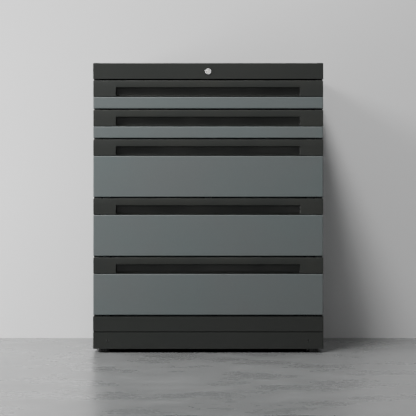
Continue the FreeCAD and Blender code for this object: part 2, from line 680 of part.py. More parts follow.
def lock_bar():
    """Upright bar with a slotted head for the crank pin, and a tongue above each drawer's catch."""
    bar = piece("upright_bar")
    neck, crown = "pin_z - slot_half - head_edge", "pin_z + slot_half + head_edge"
    foot_z, half = "front_z5", "bar_width / 2"
    pad(bar, "Y", "bar_y", "bar_sheet", [
        (f"-{half}", foot_z), (half, foot_z), (half, neck), ("head_half", neck), ("head_half", crown),
        ("-head_half", crown), ("-head_half", neck), (f"-{half}", neck)])
    pocket(bar, "Y", "bar_y", "bar_sheet", rectangle(
        "crank_throw * cos(45) - slot_half", "pin_z - slot_half", "crank_throw + slot_half",
        "pin_z + slot_half", "slot_half - slot_play"))
    hooks = piece("bar_tongues")
    for drawer in drawer_units:
        tip = f"(front_z{drawer} + catch_z{drawer} + catch_height + tongue_lead)"
        arm = f"({tip} + tongue_drop)"
        crook = f"({arm} + tongue_sheet)"
        pad(hooks, "X", "-tongue_width / 2", "tongue_width", [
            ("tongue_y", tip), ("tongue_y + tongue_sheet", tip), ("tongue_y + tongue_sheet", arm),
            ("bar_y", arm), ("bar_y", f"{crook} + weld_leg"), ("bar_y - tongue_sheet", f"{crook} + weld_leg"),
            ("bar_y - tongue_sheet", crook), ("tongue_y", crook)])
    joined("lock_bar", bar, hooks)


def bar_guides():
    """Hat-shaped clips that keep the lock bar on the back panel."""
    body = piece("bar_guides")
    inside = "(bar_width / 2 + running)"
    outside = f"({inside} + guide_sheet)"
    web = "(bar_y - running)"
    foot_y = "wall_y - guide_sheet"
    for drawer in (1, 3, 5):
        pad(body, "Z", f"front_z{drawer} + guide_rise", "guide_height", [
            (outside, foot_y), (outside, f"{web} - guide_sheet"), (f"-{outside}", f"{web} - guide_sheet"),
            (f"-{outside}", foot_y), (f"-{outside} - guide_foot", foot_y),
            (f"-{outside} - guide_foot", "wall_y"), (f"-{inside}", "wall_y"),
            (f"-{inside}", web), (inside, web), (inside, "wall_y"),
            (f"{outside} + guide_foot", "wall_y"), (f"{outside} + guide_foot", foot_y)])


# ---------------------------------------------------------------- runners

def runner(label, drawer, length, section):
    """A pair of rolled channels for one drawer. The section is (in from the post, up from its middle)."""
    body = piece(label)
    pad(body, "Y", "runner_y", length, [(f"post_x - ({across})", up) for across, up in section])
    both_sides(body)
    bind(body, "Placement.Base.z", f"front_z{drawer} + runner_rise")


def channel(start, reach, half):
    """Section of a channel with lips, open away from the post."""
    inside = f"({half} - runner_sheet)"
    lip = f"({inside} - runner_lip)"
    return [(start, f"-({half})"), (reach, f"-({half})"), (reach, f"-{lip}"),
            (f"{reach} - runner_sheet", f"-{lip}"), (f"{reach} - runner_sheet", f"-{inside}"),
            (f"{start} + runner_sheet", f"-{inside}"), (f"{start} + runner_sheet", inside),
            (f"{reach} - runner_sheet", inside), (f"{reach} - runner_sheet", lip), (reach, lip),
            (reach, half), (start, half)]


def runners(drawer):
    """Outer runner on the posts, middle runner inside it, inner runner on the tray."""
    outer_half = "runner_height / 2"
    middle_half = f"({outer_half} - runner_sheet - running)"
    foot_half = f"({middle_half} - runner_sheet - running)"
    leg_half = f"({middle_half} - runner_sheet - runner_lip - 2 * running)"
    outer_reach = "(runner_depth - runner_sheet - running)"
    middle_start = "(runner_sheet + running)"
    middle_reach = f"({outer_reach} - runner_sheet - running)"
    inner_start = f"({middle_start} + runner_sheet + running)"
    runner(f"runner_outer_{drawer}", drawer, "runner_length", channel("0", outer_reach, outer_half))
    runner(f"runner_middle_{drawer}", drawer, "runner_length - runner_short",
           channel(middle_start, middle_reach, middle_half))
    web = "runner_depth - runner_sheet"
    toe = f"{inner_start} + runner_sheet"
    runner(f"runner_inner_{drawer}", drawer, "runner_length", [
        ("runner_depth", f"-{leg_half}"), ("runner_depth", leg_half), (toe, leg_half), (toe, foot_half),
        (inner_start, foot_half), (inner_start, f"{leg_half} - runner_sheet"),
        (web, f"{leg_half} - runner_sheet"), (web, f"runner_sheet - {leg_half}"),
        (inner_start, f"runner_sheet - {leg_half}"), (inner_start, f"-{foot_half}"),
        (toe, f"-{foot_half}"), (toe, f"-{leg_half}")])


# ---------------------------------------------------------------- drawers, drawn from the front's lower edge

def set_in_row(body, drawer):
    bind(body, "Placement.Base.z", f"front_z{drawer}")


def face(drawer):
    """Folded steel face below the grip rail, open at the back."""
    body = piece(f"drawer_{drawer}_face")
    edge, high = "(width / 2 - front_reveal)", f"(front_height{drawer} - grip_height - grip_seam)"
    pad(body, "Y", "front_y", "front_depth", rectangle(f"-{edge}", "0", edge, high))
    rounded(body, "bend + sheet", lies_at("Y", number("front_y")))
    pocket(body, "Y", "front_y + sheet", "front_depth",
           rectangle(f"sheet - {edge}", "sheet", f"{edge} - sheet", f"{high} - sheet"))
    set_in_row(body, drawer)


def grip(drawer):
    """Moulded rail with a scooped finger recess, hooked behind its brow, and a ribbed back."""
    body = piece(f"drawer_{drawer}_grip")
    edge = "(width / 2 - front_reveal)"
    low, high = f"(front_height{drawer} - grip_height)", f"front_height{drawer}"
    pad(body, "Y", "front_y", "front_depth", rectangle(f"-{edge}", low, edge, high))
    rounded(body, "edge_round", lies_at("Y", number("front_y")))
    brow = f"({high} - grip_brow)"
    back = "front_y + front_depth - grip_back"
    scoop = "front_depth - grip_back - grip_sill"
    pocket(body, "X", "-recess_x", "2 * recess_x", [
        ("front_y - 1", f"{low} + grip_floor"), (back, f"{low} + grip_floor", scoop),
        (back, f"{brow} + grip_hook", "grip_corner"),
        ("front_y + grip_lip", f"{brow} + grip_hook", "grip_corner"),
        ("front_y + grip_lip", brow), ("front_y - 1", brow)])
    floor, roof = f"({low} + grip_wall)", f"({high} - grip_wall)"
    inner, outer = "(recess_x + grip_wall)", f"({edge} - grip_wall)"
    cores = []
    for side in ("-", ""):
        for half in (0, 1):
            near = f"({inner} + {half} * ({outer} - {inner} + grip_rib) / 2)"
            cores.append(rectangle(f"{side}{near}", floor,
                                   f"{side}({near} + ({outer} - {inner} - grip_rib) / 2)", roof))
    step = f"(2 * recess_x + grip_rib) / {grip_cores}"
    for core in range(grip_cores):
        left = f"({core} * {step} - recess_x)"
        cores.append(rectangle(left, f"{brow} + grip_hook + grip_wall", f"{left} + {step} - grip_rib", roof))
    pocket(body, "Y", "front_y + grip_wall", "front_depth", *cores)
    set_in_row(body, drawer)


def tray(drawer):
    """Folded tray with a hemmed rim, and a catch for the lock bar's tongue welded on its back."""
    pan = piece(f"drawer_{drawer}_pan")
    height = f"tray_height{drawer}"

    def ring(inset, *radius):
        return rectangle(f"{inset} - tray_x", f"tray_front_y + {inset}",
                         f"tray_x - {inset}", f"tray_back_y - {inset}", *radius)
    pad(pan, "Z", "tray_lift", height, ring("0"))
    pocket(pan, "Z", "tray_lift + tray_sheet", height, ring("tray_sheet"))
    pad(pan, "Z", f"tray_lift + {height} - hem_height", "hem_height",
        ring("tray_sheet / 2"), ring("hem_depth"))
    set_in_row(pan, drawer)
    catch = piece(f"drawer_{drawer}_catch")
    shelf = f"catch_z{drawer}"
    pad(catch, "X", "-catch_width / 2", "catch_width", [
        ("tray_back_y", f"{shelf} - weld_leg"), ("tray_back_y + catch_sheet", f"{shelf} - weld_leg"),
        ("tray_back_y + catch_sheet", shelf), ("catch_y", shelf), ("catch_y", f"{shelf} + catch_height"),
        ("catch_y - catch_sheet", f"{shelf} + catch_height"),
        ("catch_y - catch_sheet", f"{shelf} + catch_sheet"), ("tray_back_y", f"{shelf} + catch_sheet")])
    set_in_row(catch, drawer)
    joined(f"drawer_{drawer}_tray", pan, catch)


def dividers(drawer):
    """Upright sheets from the tray's front to its back, with end flanges and a rolled top."""
    body = piece(f"drawer_{drawer}_dividers")
    rows = drawer_rows[drawer]
    front, back = "(tray_front_y + tray_sheet + fit)", "(tray_back_y - tray_sheet - fit)"
    floor = "(tray_lift + tray_sheet)"
    tall = f"(tray_height{drawer} - tray_sheet - hem_height - divider_drop)"
    plans, hems = [], []
    for row in range(1, rows):
        middle = f"(tray_x - tray_sheet) * {2 * row - rows} / {rows}"
        left, right, tip = (f"{middle} - divider_sheet / 2", f"{middle} + divider_sheet / 2",
                            f"{middle} - divider_sheet / 2 + divider_foot")
        plans.append([
            (left, front), (tip, front), (tip, f"{front} + divider_sheet"),
            (right, f"{front} + divider_sheet"), (right, f"{back} - divider_sheet"),
            (tip, f"{back} - divider_sheet"), (tip, back), (left, back)])
        hems.append(rectangle(f"{middle} - divider_hem / 2", f"{front} + divider_sheet",
                              f"{middle} + divider_hem / 2", f"{back} - divider_sheet"))
    pad(body, "Z", floor, tall, *plans)
    pad(body, "Z", f"{floor} + {tall} - divider_hem", "divider_hem", *hems)
    set_in_row(body, drawer)


# ---------------------------------------------------------------- build, test and write

plinth_frame()
plinth_brackets()
plinth_screws()
foot_nuts()
foot("foot_front_left", -1, "front_y + foot_inset")
foot("foot_front_right", 1, "front_y + foot_inset")
foot("foot_back_left", -1, "back_y - foot_inset")
foot("foot_back_right", 1, "back_y - foot_inset")
base_pan()
side_panel("side_panel_left", -1)
side_panel("side_panel_right", 1)
back_panel()
back_screws()
runner_posts("runner_posts_front", "runner_y + bend + post_lip")
runner_posts("runner_posts_back", "runner_y + runner_length - post_lip - post_width")
top_cover()
lock_housing()
lock_nut()
lock_plug()
lock_shaft()
lock_crank()
shaft_bracket()
lock_bar()
bar_guides()
for drawer in drawer_units:
    face(drawer)
    grip(drawer)
    tray(drawer)
    dividers(drawer)
    runners(drawer)

document.recompute()
failed = [item.Label for item in document.Objects if {"Invalid", "Error"} & set(item.State)]
if failed:
    raise RuntimeError("these objects failed: " + ", ".join(failed))
for body in pieces:
    if body.Shape.isNull() or not body.Shape.isValid() or not body.Shape.Solids:
        raise RuntimeError(body.Label + " has no sound solid")

os.makedirs("parts", exist_ok=True)
for body in pieces:
    body.Shape.exportStep(f"parts/{body.Label}.step")
print(len(pieces), "sub-parts written")
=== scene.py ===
import json
import math

import bpy
import numpy as np
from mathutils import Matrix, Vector


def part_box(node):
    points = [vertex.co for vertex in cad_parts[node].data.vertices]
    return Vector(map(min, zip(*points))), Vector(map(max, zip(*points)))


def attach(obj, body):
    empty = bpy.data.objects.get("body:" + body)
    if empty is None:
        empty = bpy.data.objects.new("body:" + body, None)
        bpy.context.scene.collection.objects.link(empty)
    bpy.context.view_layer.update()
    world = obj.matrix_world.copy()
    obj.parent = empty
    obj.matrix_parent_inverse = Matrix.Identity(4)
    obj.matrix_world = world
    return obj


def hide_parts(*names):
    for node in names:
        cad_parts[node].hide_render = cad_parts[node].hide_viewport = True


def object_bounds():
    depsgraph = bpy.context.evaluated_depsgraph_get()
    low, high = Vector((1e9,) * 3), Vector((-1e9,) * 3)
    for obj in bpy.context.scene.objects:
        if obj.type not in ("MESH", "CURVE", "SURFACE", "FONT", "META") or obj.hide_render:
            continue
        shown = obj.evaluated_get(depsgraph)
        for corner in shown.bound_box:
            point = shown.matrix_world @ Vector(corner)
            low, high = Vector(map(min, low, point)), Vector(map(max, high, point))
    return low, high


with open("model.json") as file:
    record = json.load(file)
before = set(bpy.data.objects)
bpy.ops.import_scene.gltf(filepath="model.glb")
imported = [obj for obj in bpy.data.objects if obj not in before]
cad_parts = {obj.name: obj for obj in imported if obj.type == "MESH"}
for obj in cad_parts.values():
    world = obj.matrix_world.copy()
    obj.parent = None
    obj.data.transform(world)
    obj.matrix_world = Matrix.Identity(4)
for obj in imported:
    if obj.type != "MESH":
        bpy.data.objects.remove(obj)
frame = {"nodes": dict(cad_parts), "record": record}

cadLow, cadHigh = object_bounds()
nodes = frame["nodes"]
drawers = sorted(int(name.split("_")[1]) for name in nodes if name.endswith("_face"))
print("frame loaded:", len(nodes), "nodes,", len(drawers), "drawers")


# Turns an sRGB hex colour to the linear values that shaders take: the sRGB curve is a straight
# line near black and a power above it.
def linearColour(hexColour):
    parts = np.array([int(hexColour[at:at + 2], 16) for at in (1, 3, 5)]) / 255
    linear = np.where(parts <= 0.04045, parts / 12.92, ((parts + 0.055) / 1.055) ** 2.4)
    return (*linear.tolist(), 1.0)


# Sockets that share a name go by number. These are a colour mix's: its share of the second
# colour, the first colour, the second and the result. A multiply-add takes 0 times 1, plus 2.
mixShare, mixFirst, mixSecond, mixResult = 0, 6, 7, 2


# Adds one shader node with its settings, its input values and its links.
def addNode(tree, kind, settings=None, values=None, links=None):
    node = tree.nodes.new(kind)
    for name, value in (settings or {}).items():
        setattr(node, name, value)
    for name, value in (values or {}).items():
        node.inputs[name].default_value = value
    for name, source in (links or {}).items():
        tree.links.new(source, node.inputs[name])
    return node


# A new material with its shader, its output and the piece's own coordinates in metres.
def startMaterial(name, values):
    material = bpy.data.materials.new(name)
    material.use_nodes = True
    tree = material.node_tree
    tree.nodes.clear()
    shader = addNode(tree, "ShaderNodeBsdfPrincipled", values=values)
    addNode(tree, "ShaderNodeOutputMaterial", links={"Surface": shader.outputs["BSDF"]})
    place = addNode(tree, "ShaderNodeTexCoord").outputs["Object"]
    return material, tree, shader, place


# Polyester powder, sprayed dry and baked on steel. The film sets in slow shallow waves, called
# orange peel, with a finer grain over them, so its sheen is broken but even. Dust and hands
# leave it a little greyer and duller in wide patches.
powderFilm = {"sheen": 0.40, "dullSheen": 0.48, "peelWidth": 0.0024, "peelHeight": 0.00003,
              "grainWidth": 0.0006, "grainShare": 0.3, "patchWidth": 0.24, "speckWidth": 0.0011,
              "speckShare": 0.35}


def powderCoat(name, colour, dusty, speck):
    material, tree, shader, place = startMaterial(name, {"IOR": 1.5})
    patches = addNode(tree, "ShaderNodeTexNoise", values={
        "Scale": 1 / powderFilm["patchWidth"], "Detail": 4.0, "Roughness": 0.6}, links={"Vector": place})
    worn = addNode(tree, "ShaderNodeMapRange", values={"From Min": 0.35, "From Max": 0.65},
                   links={"Value": patches.outputs["Fac"]}).outputs["Result"]
    tone = addNode(tree, "ShaderNodeMix", {"data_type": "RGBA"},
                   {mixFirst: linearColour(colour), mixSecond: linearColour(dusty)},
                   {mixShare: worn}).outputs[mixResult]
    specks = addNode(tree, "ShaderNodeTexNoise", values={
        "Scale": 1 / powderFilm["speckWidth"], "Detail": 1.0}, links={"Vector": place})
    dots = addNode(tree, "ShaderNodeMapRange", values={
        "From Min": 0.55, "From Max": 0.75, "To Max": powderFilm["speckShare"]},
        links={"Value": specks.outputs["Fac"]}).outputs["Result"]
    flecked = addNode(tree, "ShaderNodeMix", {"data_type": "RGBA"}, {mixSecond: linearColour(speck)},
                      {mixShare: dots, mixFirst: tone})
    tree.links.new(flecked.outputs[mixResult], shader.inputs["Base Color"])
    sheen = addNode(tree, "ShaderNodeMapRange", values={
        "To Min": powderFilm["sheen"], "To Max": powderFilm["dullSheen"]}, links={"Value": worn})
    tree.links.new(sheen.outputs["Result"], shader.inputs["Roughness"])
    peel = addNode(tree, "ShaderNodeTexNoise", values={
        "Scale": 1 / powderFilm["peelWidth"], "Detail": 0.0}, links={"Vector": place})
    grain = addNode(tree, "ShaderNodeTexNoise", values={
        "Scale": 1 / powderFilm["grainWidth"], "Detail": 0.0}, links={"Vector": place})
    height = addNode(tree, "ShaderNodeMath", {"operation": "MULTIPLY_ADD"}, {1: powderFilm["grainShare"]},
                     {0: grain.outputs["Fac"], 2: peel.outputs["Fac"]})
    bump = addNode(tree, "ShaderNodeBump", values={"Distance": powderFilm["peelHeight"]},
                   links={"Height": height.outputs["Value"]})
    tree.links.new(bump.outputs["Normal"], shader.inputs["Normal"])
    return material


charcoalCoat = powderCoat("charcoal powder coat", "#212421", "#242623", "#2e302d")
blueGreyCoat = powderCoat("blue-grey powder coat", "#5e6666", "#606565", "#6f7676")
trayCoat = powderCoat("light grey powder coat", "#8b8e8d", "#8f908d", "#9da09e")


# ABS from a spark-eroded mould: an even matt grain of rounded cells, a little shinier in the
# patches that fingers rub.
mouldGrain = {"cellWidth": 0.0007, "cellHeight": 0.00002, "patchWidth": 0.0833, "sheen": 0.50,
              "rubbedSheen": 0.42}


def grainedPlastic(name, colour, rubbed):
    material, tree, shader, place = startMaterial(name, {"IOR": 1.53})
    wear = addNode(tree, "ShaderNodeTexNoise", values={
        "Scale": 1 / mouldGrain["patchWidth"], "Detail": 3.0}, links={"Vector": place})
    rub = addNode(tree, "ShaderNodeMapRange", values={"From Min": 0.4, "From Max": 0.65},
                  links={"Value": wear.outputs["Fac"]}).outputs["Result"]
    tone = addNode(tree, "ShaderNodeMix", {"data_type": "RGBA"},
                   {mixFirst: linearColour(colour), mixSecond: linearColour(rubbed)}, {mixShare: rub})
    tree.links.new(tone.outputs[mixResult], shader.inputs["Base Color"])
    sheen = addNode(tree, "ShaderNodeMapRange", values={
        "To Min": mouldGrain["sheen"], "To Max": mouldGrain["rubbedSheen"]}, links={"Value": rub})
    tree.links.new(sheen.outputs["Result"], shader.inputs["Roughness"])
    cells = addNode(tree, "ShaderNodeTexVoronoi", {"feature": "SMOOTH_F1"},
                    {"Scale": 1 / mouldGrain["cellWidth"], "Smoothness": 0.7}, {"Vector": place})
    bump = addNode(tree, "ShaderNodeBump", values={"Distance": mouldGrain["cellHeight"]},
                   links={"Height": cells.outputs["Distance"]})
    tree.links.new(bump.outputs["Normal"], shader.inputs["Normal"])
    return material


gripPlastic = grainedPlastic("charcoal grained ABS", "#212421", "#262824")


# Hot-dip galvanised sheet: zinc freezes in flat crystals 6 to 12 mm across, called spangle, each
# turned a little differently, so one is lighter and sharper than the next. The sway bends their
# borders.
spangle = {"width": 0.009, "swayWidth": 0.015, "sway": 0.009, "sheen": 0.30, "dullSheen": 0.48,
           "skinWidth": 0.002, "skinHeight": 0.00002}


def galvanised(name, bright, dull):
    material, tree, shader, place = startMaterial(name, {"Metallic": 1.0})
    sway = addNode(tree, "ShaderNodeTexNoise", values={"Scale": 1 / spangle["swayWidth"], "Detail": 2.0},
                   links={"Vector": place})
    warp = addNode(tree, "ShaderNodeVectorMath", {"operation": "MULTIPLY_ADD"},
                   {1: (spangle["sway"],) * 3}, {0: sway.outputs["Color"], 2: place})
    crystals = addNode(tree, "ShaderNodeTexVoronoi", values={"Scale": 1 / spangle["width"]},
                       links={"Vector": warp.outputs["Vector"]})
    turn = addNode(tree, "ShaderNodeSeparateColor", links={"Color": crystals.outputs["Color"]})
    tone = addNode(tree, "ShaderNodeMix", {"data_type": "RGBA"},
                   {mixFirst: linearColour(bright), mixSecond: linearColour(dull)},
                   {mixShare: turn.outputs["Red"]})
    tree.links.new(tone.outputs[mixResult], shader.inputs["Base Color"])
    sheen = addNode(tree, "ShaderNodeMapRange", values={
        "To Min": spangle["sheen"], "To Max": spangle["dullSheen"]}, links={"Value": turn.outputs["Green"]})
    tree.links.new(sheen.outputs["Result"], shader.inputs["Roughness"])
    skin = addNode(tree, "ShaderNodeTexNoise", values={"Scale": 1 / spangle["skinWidth"], "Detail": 3.0},
                   links={"Vector": place})
    bump = addNode(tree, "ShaderNodeBump", values={"Distance": spangle["skinHeight"]},
                   links={"Height": skin.outputs["Fac"]})
    tree.links.new(bump.outputs["Normal"], shader.inputs["Normal"])
    return material


galvanisedSheet = galvanised("galvanised sheet", "#b9bcbd", "#989c9e")


# Bright zinc plate on rolled steel: the strip's fine lines, front to back, show through under a
# thin passive film that goes from bluish to straw.
passiveFilm = {"width": 0.0333, "lineWidth": 0.0004, "lineStretch": 50, "lineHeight": 0.00001,
               "sheen": 0.24, "dullSheen": 0.38}


def zincPlate(name, bluish, straw):
    material, tree, shader, place = startMaterial(name, {"Metallic": 1.0})
    film = addNode(tree, "ShaderNodeTexNoise", values={"Scale": 1 / passiveFilm["width"], "Detail": 3.0},
                   links={"Vector": place})
    tone = addNode(tree, "ShaderNodeMix", {"data_type": "RGBA"},
                   {mixFirst: linearColour(bluish), mixSecond: linearColour(straw)},
                   {mixShare: film.outputs["Fac"]})
    tree.links.new(tone.outputs[mixResult], shader.inputs["Base Color"])
    drawn = addNode(tree, "ShaderNodeMapping", values={"Scale": (1.0, 1 / passiveFilm["lineStretch"], 1.0)},
                    links={"Vector": place})
    lines = addNode(tree, "ShaderNodeTexNoise", values={
        "Scale": 1 / passiveFilm["lineWidth"], "Detail": 2.0}, links={"Vector": drawn.outputs["Vector"]})
    sheen = addNode(tree, "ShaderNodeMapRange", values={
        "From Min": 0.3, "From Max": 0.7, "To Min": passiveFilm["sheen"],
        "To Max": passiveFilm["dullSheen"]}, links={"Value": lines.outputs["Fac"]})
    tree.links.new(sheen.outputs["Result"], shader.inputs["Roughness"])
    bump = addNode(tree, "ShaderNodeBump", values={"Distance": passiveFilm["lineHeight"]},
                   links={"Height": lines.outputs["Fac"]})
    tree.links.new(bump.outputs["Normal"], shader.inputs["Normal"])
    return material


zincSteel = zincPlate("bright zinc plate", "#b4bac0", "#bfbcae")


# Electroplate over a turned or cast body: the polish shows as hairlines, the plate as a thin haze.
plating = {"hazeWidth": 0.004, "hairWidth": 0.0004, "hairHeight": 0.000002}


def brightPlate(name, clear, hazy, polish, haze):
    material, tree, shader, place = startMaterial(name, {"Metallic": 1.0})
    cloud = addNode(tree, "ShaderNodeTexNoise", values={"Scale": 1 / plating["hazeWidth"], "Detail": 3.0},
                    links={"Vector": place})
    tone = addNode(tree, "ShaderNodeMix", {"data_type": "RGBA"},
                   {mixFirst: linearColour(clear), mixSecond: linearColour(hazy)},
                   {mixShare: cloud.outputs["Fac"]})
    tree.links.new(tone.outputs[mixResult], shader.inputs["Base Color"])
    hairs = addNode(tree, "ShaderNodeTexNoise", values={"Scale": 1 / plating["hairWidth"], "Detail": 2.0},
                    links={"Vector": place})
    sheen = addNode(tree, "ShaderNodeMapRange", values={"To Min": polish, "To Max": haze},
                    links={"Value": hairs.outputs["Fac"]})
    tree.links.new(sheen.outputs["Result"], shader.inputs["Roughness"])
    bump = addNode(tree, "ShaderNodeBump", values={"Distance": plating["hairHeight"]},
                   links={"Height": hairs.outputs["Fac"]})
    tree.links.new(bump.outputs["Normal"], shader.inputs["Normal"])
    return material


chromedBrass = brightPlate("chromium plated brass", "#ececec", "#dedfdf", 0.10, 0.20)
nickelPlug = brightPlate("nickel plated zinc casting", "#e6e4df", "#d8d6d0", 0.16, 0.27)


# A black moulding or a black oxide skin: the same dark body all through, scuffed grey where it
# meets floors, fingers and tools.
scuffHeight = 0.00002


def blackened(name, colour, scuffed, sheen, scuffSheen, scuffWidth):
    material, tree, shader, place = startMaterial(name, {"IOR": 1.53})
    scuffs = addNode(tree, "ShaderNodeTexNoise", values={
        "Scale": 1 / scuffWidth, "Detail": 5.0, "Roughness": 0.7}, links={"Vector": place})
    worn = addNode(tree, "ShaderNodeMapRange", values={"From Min": 0.45, "From Max": 0.7},
                   links={"Value": scuffs.outputs["Fac"]}).outputs["Result"]
    tone = addNode(tree, "ShaderNodeMix", {"data_type": "RGBA"},
                   {mixFirst: linearColour(colour), mixSecond: linearColour(scuffed)}, {mixShare: worn})
    tree.links.new(tone.outputs[mixResult], shader.inputs["Base Color"])
    dull = addNode(tree, "ShaderNodeMapRange", values={"To Min": sheen, "To Max": scuffSheen},
                   links={"Value": worn})
    tree.links.new(dull.outputs["Result"], shader.inputs["Roughness"])
    bump = addNode(tree, "ShaderNodeBump", values={"Distance": scuffHeight},
                   links={"Height": scuffs.outputs["Fac"]})
    tree.links.new(bump.outputs["Normal"], shader.inputs["Normal"])
    return material


blackNylon = blackened("black moulded nylon", "#121312", "#1d1e1d", 0.28, 0.48, 0.007)
blackSteel = blackened("black oxide steel", "#080909", "#101111", 0.5, 0.6, 0.002)

# Which finish each of the record's slots takes, and each node's slot and body.
finishOf = {"dark_powder_coat": charcoalCoat, "face_powder_coat": blueGreyCoat,
            "tray_powder_coat": trayCoat, "divider_steel": galvanisedSheet, "grip_plastic": gripPlastic,
            "zinc_plated_steel": zincSteel, "chrome_plate": chromedBrass, "nickel_plate": nickelPlug,
            "black_foot_plastic": blackNylon, "black_steel_screws": blackSteel}
slotOf = {subpart["node"]: subpart["material_slot"] for subpart in frame["record"]["subparts"]}
bodies = frame["record"]["behaviour"]["bodies"]
bodyOf = {node: body for body, members in bodies.items() for node in members}
for name, slotName in slotOf.items():
    for materialSlot in nodes[name].material_slots:
        materialSlot.material = finishOf[slotName]
print("materials made:", len(bpy.data.materials))


# A closed outline through corners of (across, up, radius), each an arc of so many points. An arc's
# centre is on its corner's bisector, the radius over the sine of the corner's half angle away, and
# its points are equal turns from one side to the other. Leading dimensions of the corners' array
# carry over, so many outlines are made at once.
def roundedOutline(corners, points):
    corners = np.asarray(corners, float)
    spots, radii = corners[..., :2], corners[..., 2:]
    back, ahead = (np.roll(spots, step, -2) - spots for step in (1, -1))
    back, ahead = (way / np.linalg.norm(way, axis=-1, keepdims=True) for way in (back, ahead))
    half = np.arccos(np.clip((back * ahead).sum(-1, keepdims=True), -1, 1)) / 2
    inward = (back + ahead) / np.linalg.norm(back + ahead, axis=-1, keepdims=True)
    centres = (spots + inward * radii / np.sin(half))[..., None, :]
    start = (spots + back * radii / np.tan(half))[..., None, :] - centres
    stop = (spots + ahead * radii / np.tan(half))[..., None, :] - centres
    sweep = (math.pi - 2 * half)[..., None, :]
    share = np.linspace(0, 1, points)[:, None]
    arcs = (np.sin((1 - share) * sweep) * start + np.sin(share * sweep) * stop) / np.sin(sweep)
    return (centres + arcs).reshape(corners.shape[:-2] + (-1, 2))


# Carries outlines straight along an axis, 0 to 2 for X to Z, as one ring of points at each station.
def carried(axis, outlines, stations):
    outlines = np.broadcast_to(outlines, (len(stations),) + np.shape(outlines)[-2:])
    along = np.broadcast_to(np.reshape(stations, (-1, 1, 1)), outlines.shape[:2] + (1,))
    return np.concatenate([outlines[..., :axis], along, outlines[..., axis:]], -1)


# Evenly spaced angles for a full turn.
def anglesOf(sides):
    return np.arange(sides) * 2 * math.pi / sides


# Angles from none to a quarter turn, along which bends and rounds go by sine and cosine.
def quarterTurn(points):
    return np.linspace(0, math.pi / 2, points)


# A ring about a centre: at each angle, the radius times its cosine and sine.
def aroundAxis(centre, radii, angles):
    radii = np.broadcast_to(np.asarray(radii, float), np.broadcast_shapes(np.shape(radii), angles.shape))
    return np.asarray(centre) + radii[..., None] * np.stack([np.cos(angles), np.sin(angles)], -1)


# Distance from the middle of an even polygon to its edge: half the width across its flats over
# the cosine of the angle from the nearest flat's middle.
def evenSided(count, flats, angles):
    part = 2 * math.pi / count
    return flats / 2 / np.cos((angles + part / 2) % part - part / 2)


# Mirrors a surface to the other side of the middle.
def mirrored(grid):
    return grid * np.array([-1, 1, 1])


creaseAngle = 32    # degrees that two faces may turn before their edge shows


# Makes a piece from closed surfaces, each a grid of rings joined by quads. A grid whose last ring
# is its first closes on itself, and any other gets a flat face at each end. The volume is the sum
# of the triple products of the faces' corners, and a surface whose volume comes out negative has
# its faces turned, so that all look outward.
def makePiece(name, grids, material, body, replaced=(), crease=creaseAngle):
    corners, faces, first = [], [], 0
    for grid in grids:
        looped = np.allclose(grid[0], grid[-1])
        grid = grid[:-1] if looped else grid
        points = grid.reshape(-1, 3)
        index = np.arange(len(points)).reshape(grid.shape[:2])
        near, far = (index, np.roll(index, -1, 0)) if looped else (index[:-1], index[1:])
        quads = np.stack([near, np.roll(near, -1, 1), np.roll(far, -1, 1), far], -1).reshape(-1, 4)
        ends = [] if looped else [index[0][::-1], index[-1]]
        a, b, c, d = (points[quads[:, corner]] for corner in range(4))
        volume = (a * (np.cross(b, c) + np.cross(c, d))).sum()
        for end in ends:
            volume += (points[end[0]] * np.cross(points[end[1:-1]], points[end[2:]])).sum()
        way = -1 if volume < 0 else 1
        faces += (quads[:, ::way] + first).tolist() + [(end[::way] + first).tolist() for end in ends]
        corners.append(points)
        first += len(points)
    mesh = bpy.data.meshes.new(name)
    mesh.from_pydata(np.concatenate(corners).tolist(), [], faces)
    mesh.polygons.foreach_set("use_smooth", np.ones(len(mesh.polygons), bool))
    mesh.set_sharp_from_angle(angle=math.radians(crease))
    mesh.materials.append(material)
    piece = bpy.data.objects.new(name, mesh)
    bpy.context.scene.collection.objects.link(piece)
    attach(piece, body)
    if replaced:
        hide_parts(*replaced)


# A piece that stands for one node and takes over its finish and its body.
def replaceNode(node, grids, crease=creaseAngle):
    slotName = slotOf[node]
    makePiece(node + "_detailed", grids, finishOf[slotName], bodyOf[node], [node], crease)


# Moulded rail over a drawer's face. Its section is carried along the drawer: in the middle it has
# the scooped finger recess, hooked up behind the brow, and toward both ends the recess rises to
# the flat front through an end wall with a rounded mouth and foot. The hollows in its back open
# and close along it between ribs.
rail = {"brow": 0.018, "lip": 0.004, "hook": 0.006, "back": 0.003, "floor": 0.001,
        "edge": 0.001, "soft": 0.0009, "hookRound": 0.002, "scoop": 0.006, "crisp": 0.00005,
        "underRound": 0.0005, "underShare": 0.4,        # under edge, and its share of the end's inset
        "block": 0.0595, "mouthRound": 0.0012, "footRound": 0.002, "draft": 0.0003,     # end walls
        "wallRun": (0.35, 0.7, 1.0), "wallDeep": (0.5, 0.9, 1.0),       # shares of draft and depth
        "wall": 0.0026, "rib": 0.002, "hollows": 8, "shut": 0.0002,     # hollows, open and shut
        "arcPoints": 6, "turnPoints": 5, "stationDigits": 7, "crease": 25}


